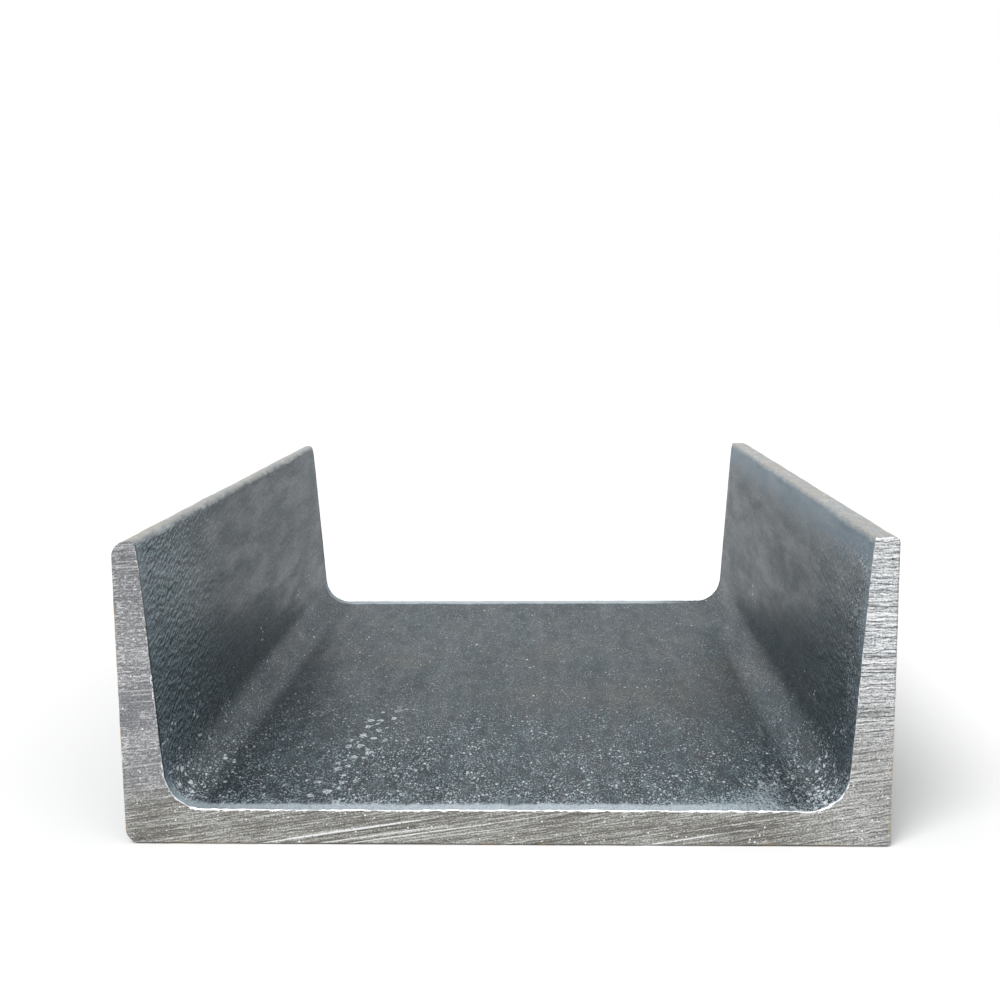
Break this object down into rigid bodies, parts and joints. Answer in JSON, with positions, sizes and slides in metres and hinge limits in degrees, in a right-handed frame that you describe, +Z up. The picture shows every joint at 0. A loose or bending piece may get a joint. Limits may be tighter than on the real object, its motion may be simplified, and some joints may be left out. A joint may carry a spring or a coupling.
{
  "type": "c channel",
  "caption": "Short length of hot-rolled steel C channel: a flat web with tapered flanges, filleted roots and rolled toes, sawn square at the ends.",
  "frame": {"origin": "middle of the web's back, half way along the stock, on the floor that the channel lies on", "axes": "+X across the section to the right flange, +Y along the stock away from the pictured end, +Z up along the flanges"},
  "size_m": [0.16, 0.2, 0.065],
  "materials": {
    "hot_rolled_steel": "dark blue-grey mill scale on the rolled faces, bright saw-cut ends with fine saw lines"
  },
  "bodies": {
    "root": {"c_channel": "hot_rolled_steel"}
  },
  "joints": []
}
